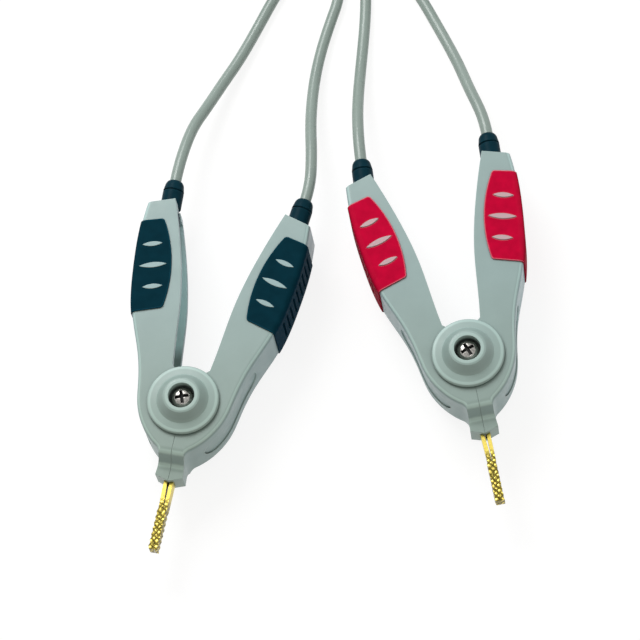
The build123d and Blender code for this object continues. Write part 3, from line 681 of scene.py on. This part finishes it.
class KELVIN_OT_cords(Operator):
    """Make the four cords with their coils"""

    bl_idname = "kelvin.cords"
    bl_label = "Cords"

    def execute(self, context):
        cords, look = settings()[1:]
        finish = cord_finish(look)
        for name, (side, row) in PLACES.items():
            tail = [mirrored(p, side) for p in TAILS[row]]
            centre = mirrored(COILS[row], side)
            way = 1 if side == "left" else -1
            turns = coil_turns(cords, centre, LEADS[name][-1], tail[0], way)
            points = [Vector(p) * MM for p in LEADS[name]] + turns + [Vector(p) * MM for p in tail]
            path = [v.co.copy() for v in cord_mesh(points, 0.0).vertices]
            tube = cord_mesh(points, cords.diameter)
            tube.shade_smooth()
            tube.materials.append(finish)
            piece = link(f"{name}_flex", tube)
            if name in MOVING:
                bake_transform(piece)
            else:
                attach(piece, "base")
            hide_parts(f"{name}_cord", f"{name}_coil")
            ties = [coil_tie(f"{name}_tie_{i}", turns, centre, angle, cords)
                    for i, angle in enumerate(TIE_ANGLES)]
        return {"FINISHED"}


def coil_section(turns, centre, angle):
    """Where a coil's turns cross a half-plane through its middle, as distances and heights."""
    spots = []
    for one, two in zip(turns, turns[1:]):
        flat = [Vector((p.x - centre[0] * MM, p.y - centre[1] * MM)) for p in (one, two)]
        before, after = ((atan2(p.y, p.x) - angle + pi) % tau - pi for p in flat)
        if before * after <= 0 and abs(before) < 1:
            part = before / (before - after)
            spots.append(Vector((flat[0].lerp(flat[1], part).length, one.lerp(two, part).z)))
    return spots


def coil_tie(name, turns, centre, angle, cords):
    """A flat strap pulled tight round a coil's bundle, with its end lying on top."""
    spots = coil_section(turns, centre, angle)
    form = bmesh.new()
    rings = []
    for i in range(TIE_STEPS + TIE_OVERLAP + 1):
        a = tau * i / TIE_STEPS + pi / 2
        out = Vector((cos(a), sin(a)))
        middle = max(spots, key=out.dot)
        lap = cords.tie_thickness * 1.3 * max(0.0, min(1.0, (i - TIE_STEPS + 3) / 3))
        ring = []
        for side, thick in ((-1, 0), (1, 0), (1, 1), (-1, 1)):
            r, z = middle + out * (cords.diameter / 2 + thick * cords.tie_thickness + lap)
            z = max(z, 0.00002)
            across = side * cords.tie_width / 2
            x, y = r * cos(angle) - across * sin(angle), r * sin(angle) + across * cos(angle)
            spot = Vector((x, y, z)) + Vector((centre[0] * MM, centre[1] * MM, 0.0))
            ring.append(form.verts.new(spot))
        rings.append(ring)
    for one, two in zip(rings, rings[1:]):
        for k in range(4):
            form.faces.new((one[k], one[(k + 1) % 4], two[(k + 1) % 4], two[k]))
    form.faces.new(rings[0][::-1])
    form.faces.new(rings[-1])
    bmesh.ops.recalc_face_normals(form, faces=form.faces)
    mesh = bpy.data.meshes.new(name)
    form.to_mesh(mesh)
    form.free()
    tie = link(name, mesh)
    tie.data.materials.append(bpy.data.materials.get("tie_rubber")
                              or rubber_finish("tie_rubber", settings()[2].tie, settings()[2]))
    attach(tie, "base")
    return tie


# Clip pieces
class KELVIN_OT_housings(Operator):
    """Finish the levers and the pivot caps"""

    bl_idname = "kelvin.housings"
    bl_label = "Housings and caps"

    def execute(self, context):
        look = settings()[2]
        for clip, ribs in (("black", look.black_rib_reflection), ("red", look.red_rib_reflection)):
            give(lever_finish(clip, look, ribs), "housing", f"{clip}_left_lever", f"{clip}_right_lever")
            give(cap_finish(clip, look), "housing", f"{clip}_front_cap", f"{clip}_back_cap")
        return {"FINISHED"}


class KELVIN_OT_grips(Operator):
    """Finish the soft grips"""

    bl_idname = "kelvin.grips"
    bl_label = "Grips"

    def execute(self, context):
        look = settings()[2]
        # Painted highlight for the dark grips' edges; painted shade for the red grips' walls
        dark_rim_highlight, red_wall_shade = shade(look.black_grip, 2.6), shade(look.red_grip, 0.55)
        dark = grip_finish("grip_dark", look.black_grip, look.black_wall_shade, dark_rim_highlight, look)
        red = grip_finish("grip_red", look.red_grip, red_wall_shade, look.red_rim_highlight, look)
        for name in LEVERS:
            clip = name.split("_")[0]
            give(dark if clip == "black" else red, f"{clip}_grip", f"{name}_grip")
        return {"FINISHED"}


class KELVIN_OT_reliefs(Operator):
    """Finish the strain reliefs"""

    bl_idname = "kelvin.reliefs"
    bl_label = "Strain reliefs"

    def execute(self, context):
        look = settings()[2]
        finish = rubber_finish("relief_rubber", look.relief, look)
        give(finish, "relief", *[f"{name}_relief" for name in LEVERS])
        return {"FINISHED"}


class KELVIN_OT_contacts(Operator):
    """Finish the contact blades and the wires inside the levers"""

    bl_idname = "kelvin.contacts"
    bl_label = "Contacts and wires"

    def execute(self, context):
        look = settings()[2]
        for clip in CLIPS:
            give(gold_finish(clip, look), "contact_gold", f"{clip}_left_blade", f"{clip}_right_blade")
        core, tree, shader = plain_finish("wire_jacket", look.core, 0.35)
        mottle(tree, shader, look.core, 0.04, 800.0)
        give(core, "wire_jacket", *[f"{name}_wire" for name in LEVERS])
        return {"FINISHED"}


class KELVIN_OT_pivots(Operator):
    """Finish screws, bushes and inserts, and make the springs"""

    bl_idname = "kelvin.pivots"
    bl_label = "Pivots and springs"

    def execute(self, context):
        look = settings()[2]
        for clip in CLIPS:
            give(screw_finish(clip, look), "steel", f"{clip}_screw")
        nickel = metal_finish("bush_nickel", look.nickel, 0.16, 0.30, look)
        give(nickel, "steel", *[f"{clip}_bush" for clip in CLIPS])
        give(metal_finish("insert_brass", look.brass, 0.25, 0.4, look), "insert_brass",
             *[f"{clip}_insert" for clip in CLIPS])
        bright = metal_finish("spring_steel", shade(look.nickel, 0.9), 0.22, 0.36, look)
        for clip, lever, way in (("black", "black_lever", -1), ("red", "red_lever", 1)):
            piece = link(f"{clip}_spring_wire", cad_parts[f"{clip}_spring"].data.copy())
            piece.data.materials.clear()
            piece.data.materials.append(bright)
            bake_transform(piece)
            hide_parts(f"{clip}_spring")
        return {"FINISHED"}


class KELVIN_OT_plugs(Operator):
    """Finish the plugs"""

    bl_idname = "kelvin.plugs"
    bl_label = "Plugs"

    def execute(self, context):
        look = settings()[2]
        plate = metal_finish("plug_nickel", shade(look.nickel, 1.15), 0.14, 0.26, look)
        for part in ("body", "collar"):
            give(plate, "plug_nickel", *[f"{name}_plug_{part}" for name in LEVERS])
        boots = rubber_finish("boot_rubber", look.boot, look)
        give(boots, "plug_boot", *[f"{name}_plug_boot" for name in LEVERS])
        pin, tree, shader = plain_finish("plug_pin", look.gold, 0.25, 1.0)
        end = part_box("black_left_plug_pin")[0].y
        white = ranged(tree, along(tree, "Y"), *(end + reach for reach in PIN_WHITE), 1.0, 0.0)
        tree.links.new(mixed(tree, white, look.gold, look.dielectric), shader.inputs["Base Color"])
        tree.links.new(ranged(tree, white, 0.0, 1.0, 1.0, 0.0), shader.inputs["Metallic"])
        give(pin, "contact_gold", *[f"{name}_plug_pin" for name in LEVERS])
        return {"FINISHED"}


PIECES = (KELVIN_OT_stage, KELVIN_OT_cords, KELVIN_OT_housings, KELVIN_OT_grips, KELVIN_OT_reliefs,
          KELVIN_OT_contacts, KELVIN_OT_pivots, KELVIN_OT_plugs)


class KELVIN_PT_panel(Panel):
    """Lists the pieces of the clips in the sidebar"""

    bl_idname = "KELVIN_PT_panel"
    bl_label = "Kelvin clips"
    bl_space_type = "VIEW_3D"
    bl_region_type = "UI"
    bl_category = "Kelvin clips"

    def draw(self, context):
        for piece in PIECES:
            self.layout.operator(piece.bl_idname)
        for group in settings():
            box = self.layout.box()
            for name in group.__annotations__:
                box.prop(group, name)


CLASSES = (KelvinStage, KelvinCords, KelvinFinishes, *PIECES, KELVIN_PT_panel)


def register():
    for item in CLASSES:
        bpy.utils.register_class(item)
    bpy.types.Scene.kelvin_stage = PointerProperty(type=KelvinStage)
    bpy.types.Scene.kelvin_cords = PointerProperty(type=KelvinCords)
    bpy.types.Scene.kelvin_finishes = PointerProperty(type=KelvinFinishes)


def unregister():
    del bpy.types.Scene.kelvin_finishes
    del bpy.types.Scene.kelvin_cords
    del bpy.types.Scene.kelvin_stage
    for item in reversed(CLASSES):
        bpy.utils.unregister_class(item)


def main():
    """Makes everything."""
    register()
    for piece in PIECES:
        group, name = piece.bl_idname.split(".")
        if getattr(getattr(bpy.ops, group), name)() != {"FINISHED"}:
            raise RuntimeError(f"{piece.bl_label} was not made")


if __name__ == "__main__":
    main()
